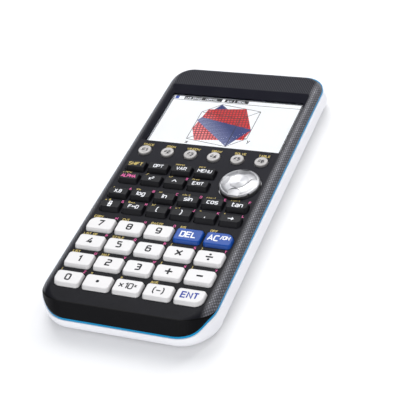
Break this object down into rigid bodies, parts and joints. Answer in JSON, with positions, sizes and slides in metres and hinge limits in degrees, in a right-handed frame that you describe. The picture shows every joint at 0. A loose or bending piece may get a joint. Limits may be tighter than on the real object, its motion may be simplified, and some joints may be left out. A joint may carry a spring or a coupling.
{
  "type": "graphing calculator",
  "caption": "Slim handheld graphing calculator with a recessed colour display, round function keys, a four-way cursor pad, small black keys and a white number pad",
  "frame": {"origin": "on the surface that the feet stand on, under the middle of the case", "axes": "+X to the right of the keypad, +Y towards the display end, +Z out of the keypad"},
  "size_m": [0.089, 0.1875, 0.0186],
  "materials": {
    "case_charcoal": "dark charcoal face with a fine sparkling dot texture on its shoulders",
    "trim_blue": "bright cyan blue, glossy",
    "case_white": "white, satin gloss",
    "window_clear": "clear hard-coated display window",
    "lcd_frame": "pressed metal frame round the colour screen",
    "board_green": "green circuit board with black chips",
    "silicone": "grey translucent silicone",
    "key_black": "black, soft gloss",
    "key_white": "white, soft gloss",
    "key_blue": "royal blue, soft gloss",
    "key_silver": "metallised silver plastic with fine turned lines",
    "rocker_grey": "grey",
    "cell_sleeve": "plain printed sleeve with bare metal ends",
    "contact_steel": "nickel-plated spring steel",
    "screw_steel": "blackened steel",
    "foot_rubber": "grey rubber"
  },
  "bodies": {
    "case": {"front_case": "case_charcoal", "trim_band": "trim_blue", "rear_case": "case_white", "display_window": "window_clear", "lcd_module": "lcd_frame", "main_board": "board_green", "keypad_membrane": "silicone", "batteries": "cell_sleeve", "battery_contacts": "contact_steel", "case_screws": "screw_steel", "rear_feet": "foot_rubber"},
    "key_0": {"key_0": "key_white"},
    "key_1": {"key_1": "key_white"},
    "key_2": {"key_2": "key_white"},
    "key_3": {"key_3": "key_white"},
    "key_4": {"key_4": "key_white"},
    "key_5": {"key_5": "key_white"},
    "key_6": {"key_6": "key_white"},
    "key_7": {"key_7": "key_white"},
    "key_8": {"key_8": "key_white"},
    "key_9": {"key_9": "key_white"},
    "key_ac": {"key_ac": "key_blue"},
    "key_alpha": {"key_alpha": "key_black"},
    "key_arrow": {"key_arrow": "key_black"},
    "key_comma": {"key_comma": "key_black"},
    "key_convert": {"key_convert": "key_black"},
    "key_cos": {"key_cos": "key_black"},
    "key_del": {"key_del": "key_blue"},
    "key_divide": {"key_divide": "key_white"},
    "key_enter": {"key_enter": "key_white"},
    "key_exit": {"key_exit": "key_black"},
    "key_exponent": {"key_exponent": "key_white"},
    "key_f1": {"key_f1": "key_silver"},
    "key_f2": {"key_f2": "key_silver"},
    "key_f3": {"key_f3": "key_silver"},
    "key_f4": {"key_f4": "key_silver"},
    "key_f5": {"key_f5": "key_silver"},
    "key_f6": {"key_f6": "key_silver"},
    "key_fraction": {"key_fraction": "key_black"},
    "key_ln": {"key_ln": "key_black"},
    "key_log": {"key_log": "key_black"},
    "key_menu": {"key_menu": "key_black"},
    "key_minus": {"key_minus": "key_white"},
    "key_multiply": {"key_multiply": "key_white"},
    "key_negate": {"key_negate": "key_white"},
    "key_option": {"key_option": "key_black"},
    "key_paren_close": {"key_paren_close": "key_black"},
    "key_paren_open": {"key_paren_open": "key_black"},
    "key_plus": {"key_plus": "key_white"},
    "key_point": {"key_point": "key_white"},
    "key_power": {"key_power": "key_black"},
    "key_shift": {"key_shift": "key_black"},
    "key_sin": {"key_sin": "key_black"},
    "key_square": {"key_square": "key_black"},
    "key_tan": {"key_tan": "key_black"},
    "key_variable": {"key_variable": "key_black"},
    "key_x_theta": {"key_x_theta": "key_black"},
    "cursor_rocker": {"cursor_rocker": "rocker_grey"},
    "cursor_pad": {"cursor_pad": "key_silver"},
    "battery_cover": {"battery_cover": "case_white"}
  },
  "joints": [
    {"name": "key_0_press", "type": "slide", "parent": "case", "child": "key_0", "axis": [0, 0, -1], "range_m": [0, 0.0008], "stiffness_N_per_m": 400, "deforming": ["keypad_membrane"]},
    {"name": "key_1_press", "type": "slide", "parent": "case", "child": "key_1", "axis": [0, 0, -1], "range_m": [0, 0.0008], "stiffness_N_per_m": 400},
    {"name": "key_2_press", "type": "slide", "parent": "case", "child": "key_2", "axis": [0, 0, -1], "range_m": [0, 0.0008], "stiffness_N_per_m": 400},
    {"name": "key_3_press", "type": "slide", "parent": "case", "child": "key_3", "axis": [0, 0, -1], "range_m": [0, 0.0008], "stiffness_N_per_m": 400},
    {"name": "key_4_press", "type": "slide", "parent": "case", "child": "key_4", "axis": [0, 0, -1], "range_m": [0, 0.0008], "stiffness_N_per_m": 400},
    {"name": "key_5_press", "type": "slide", "parent": "case", "child": "key_5", "axis": [0, 0, -1], "range_m": [0, 0.0008], "stiffness_N_per_m": 400},
    {"name": "key_6_press", "type": "slide", "parent": "case", "child": "key_6", "axis": [0, 0, -1], "range_m": [0, 0.0008], "stiffness_N_per_m": 400},
    {"name": "key_7_press", "type": "slide", "parent": "case", "child": "key_7", "axis": [0, 0, -1], "range_m": [0, 0.0008], "stiffness_N_per_m": 400},
    {"name": "key_8_press", "type": "slide", "parent": "case", "child": "key_8", "axis": [0, 0, -1], "range_m": [0, 0.0008], "stiffness_N_per_m": 400},
    {"name": "key_9_press", "type": "slide", "parent": "case", "child": "key_9", "axis": [0, 0, -1], "range_m": [0, 0.0008], "stiffness_N_per_m": 400},
    {"name": "key_ac_press", "type": "slide", "parent": "case", "child": "key_ac", "axis": [0, 0, -1], "range_m": [0, 0.0008], "stiffness_N_per_m": 400},
    {"name": "key_alpha_press", "type": "slide", "parent": "case", "child": "key_alpha", "axis": [0, 0, -1], "range_m": [0, 0.0008], "stiffness_N_per_m": 400},
    {"name": "key_arrow_press", "type": "slide", "parent": "case", "child": "key_arrow", "axis": [0, 0, -1], "range_m": [0, 0.0008], "stiffness_N_per_m": 400},
    {"name": "key_comma_press", "type": "slide", "parent": "case", "child": "key_comma", "axis": [0, 0, -1], "range_m": [0, 0.0008], "stiffness_N_per_m": 400},
    {"name": "key_convert_press", "type": "slide", "parent": "case", "child": "key_convert", "axis": [0, 0, -1], "range_m": [0, 0.0008], "stiffness_N_per_m": 400},
    {"name": "key_cos_press", "type": "slide", "parent": "case", "child": "key_cos", "axis": [0, 0, -1], "range_m": [0, 0.0008], "stiffness_N_per_m": 400},
    {"name": "key_del_press", "type": "slide", "parent": "case", "child": "key_del", "axis": [0, 0, -1], "range_m": [0, 0.0008], "stiffness_N_per_m": 400},
    {"name": "key_divide_press", "type": "slide", "parent": "case", "child": "key_divide", "axis": [0, 0, -1], "range_m": [0, 0.0008], "stiffness_N_per_m": 400},
    {"name": "key_enter_press", "type": "slide", "parent": "case", "child": "key_enter", "axis": [0, 0, -1], "range_m": [0, 0.0008], "stiffness_N_per_m": 400},
    {"name": "key_exit_press", "type": "slide", "parent": "case", "child": "key_exit", "axis": [0, 0, -1], "range_m": [0, 0.0008], "stiffness_N_per_m": 400},
    {"name": "key_exponent_press", "type": "slide", "parent": "case", "child": "key_exponent", "axis": [0, 0, -1], "range_m": [0, 0.0008], "stiffness_N_per_m": 400},
    {"name": "key_f1_press", "type": "slide", "parent": "case", "child": "key_f1", "axis": [0, 0, -1], "range_m": [0, 0.0008], "stiffness_N_per_m": 400},
    {"name": "key_f2_press", "type": "slide", "parent": "case", "child": "key_f2", "axis": [0, 0, -1], "range_m": [0, 0.0008], "stiffness_N_per_m": 400},
    {"name": "key_f3_press", "type": "slide", "parent": "case", "child": "key_f3", "axis": [0, 0, -1], "range_m": [0, 0.0008], "stiffness_N_per_m": 400},
    {"name": "key_f4_press", "type": "slide", "parent": "case", "child": "key_f4", "axis": [0, 0, -1], "range_m": [0, 0.0008], "stiffness_N_per_m": 400},
    {"name": "key_f5_press", "type": "slide", "parent": "case", "child": "key_f5", "axis": [0, 0, -1], "range_m": [0, 0.0008], "stiffness_N_per_m": 400},
    {"name": "key_f6_press", "type": "slide", "parent": "case", "child": "key_f6", "axis": [0, 0, -1], "range_m": [0, 0.0008], "stiffness_N_per_m": 400},
    {"name": "key_fraction_press", "type": "slide", "parent": "case", "child": "key_fraction", "axis": [0, 0, -1], "range_m": [0, 0.0008], "stiffness_N_per_m": 400},
    {"name": "key_ln_press", "type": "slide", "parent": "case", "child": "key_ln", "axis": [0, 0, -1], "range_m": [0, 0.0008], "stiffness_N_per_m": 400},
    {"name": "key_log_press", "type": "slide", "parent": "case", "child": "key_log", "axis": [0, 0, -1], "range_m": [0, 0.0008], "stiffness_N_per_m": 400},
    {"name": "key_menu_press", "type": "slide", "parent": "case", "child": "key_menu", "axis": [0, 0, -1], "range_m": [0, 0.0008], "stiffness_N_per_m": 400},
    {"name": "key_minus_press", "type": "slide", "parent": "case", "child": "key_minus", "axis": [0, 0, -1], "range_m": [0, 0.0008], "stiffness_N_per_m": 400},
    {"name": "key_multiply_press", "type": "slide", "parent": "case", "child": "key_multiply", "axis": [0, 0, -1], "range_m": [0, 0.0008], "stiffness_N_per_m": 400},
    {"name": "key_negate_press", "type": "slide", "parent": "case", "child": "key_negate", "axis": [0, 0, -1], "range_m": [0, 0.0008], "stiffness_N_per_m": 400},
    {"name": "key_option_press", "type": "slide", "parent": "case", "child": "key_option", "axis": [0, 0, -1], "range_m": [0, 0.0008], "stiffness_N_per_m": 400},
    {"name": "key_paren_close_press", "type": "slide", "parent": "case", "child": "key_paren_close", "axis": [0, 0, -1], "range_m": [0, 0.0008], "stiffness_N_per_m": 400},
    {"name": "key_paren_open_press", "type": "slide", "parent": "case", "child": "key_paren_open", "axis": [0, 0, -1], "range_m": [0, 0.0008], "stiffness_N_per_m": 400},
    {"name": "key_plus_press", "type": "slide", "parent": "case", "child": "key_plus", "axis": [0, 0, -1], "range_m": [0, 0.0008], "stiffness_N_per_m": 400},
    {"name": "key_point_press", "type": "slide", "parent": "case", "child": "key_point", "axis": [0, 0, -1], "range_m": [0, 0.0008], "stiffness_N_per_m": 400},
    {"name": "key_power_press", "type": "slide", "parent": "case", "child": "key_power", "axis": [0, 0, -1], "range_m": [0, 0.0008], "stiffness_N_per_m": 400},
    {"name": "key_shift_press", "type": "slide", "parent": "case", "child": "key_shift", "axis": [0, 0, -1], "range_m": [0, 0.0008], "stiffness_N_per_m": 400},
    {"name": "key_sin_press", "type": "slide", "parent": "case", "child": "key_sin", "axis": [0, 0, -1], "range_m": [0, 0.0008], "stiffness_N_per_m": 400},
    {"name": "key_square_press", "type": "slide", "parent": "case", "child": "key_square", "axis": [0, 0, -1], "range_m": [0, 0.0008], "stiffness_N_per_m": 400},
    {"name": "key_tan_press", "type": "slide", "parent": "case", "child": "key_tan", "axis": [0, 0, -1], "range_m": [0, 0.0008], "stiffness_N_per_m": 400},
    {"name": "key_variable_press", "type": "slide", "parent": "case", "child": "key_variable", "axis": [0, 0, -1], "range_m": [0, 0.0008], "stiffness_N_per_m": 400},
    {"name": "key_x_theta_press", "type": "slide", "parent": "case", "child": "key_x_theta", "axis": [0, 0, -1], "range_m": [0, 0.0008], "stiffness_N_per_m": 400},
    {"name": "cursor_tip_up_down", "type": "hinge", "parent": "case", "child": "cursor_rocker", "pos_m": [0.0268, -0.0009, 0.0136], "axis": [1, 0, 0], "range_deg": [-2.4, 2.4], "stiffness_Nm_per_rad": 0.1},
    {"name": "cursor_tip_left_right", "type": "hinge", "parent": "cursor_rocker", "child": "cursor_pad", "pos_m": [0.0268, -0.0009, 0.0136], "axis": [0, 1, 0], "range_deg": [-2.4, 2.4], "stiffness_Nm_per_rad": 0.1},
    {"name": "battery_cover_hinge", "type": "hinge", "parent": "case", "child": "battery_cover", "pos_m": [0, -0.02125, 0.0011], "axis": [1, 0, 0], "range_deg": [0, 80]}
  ]
}
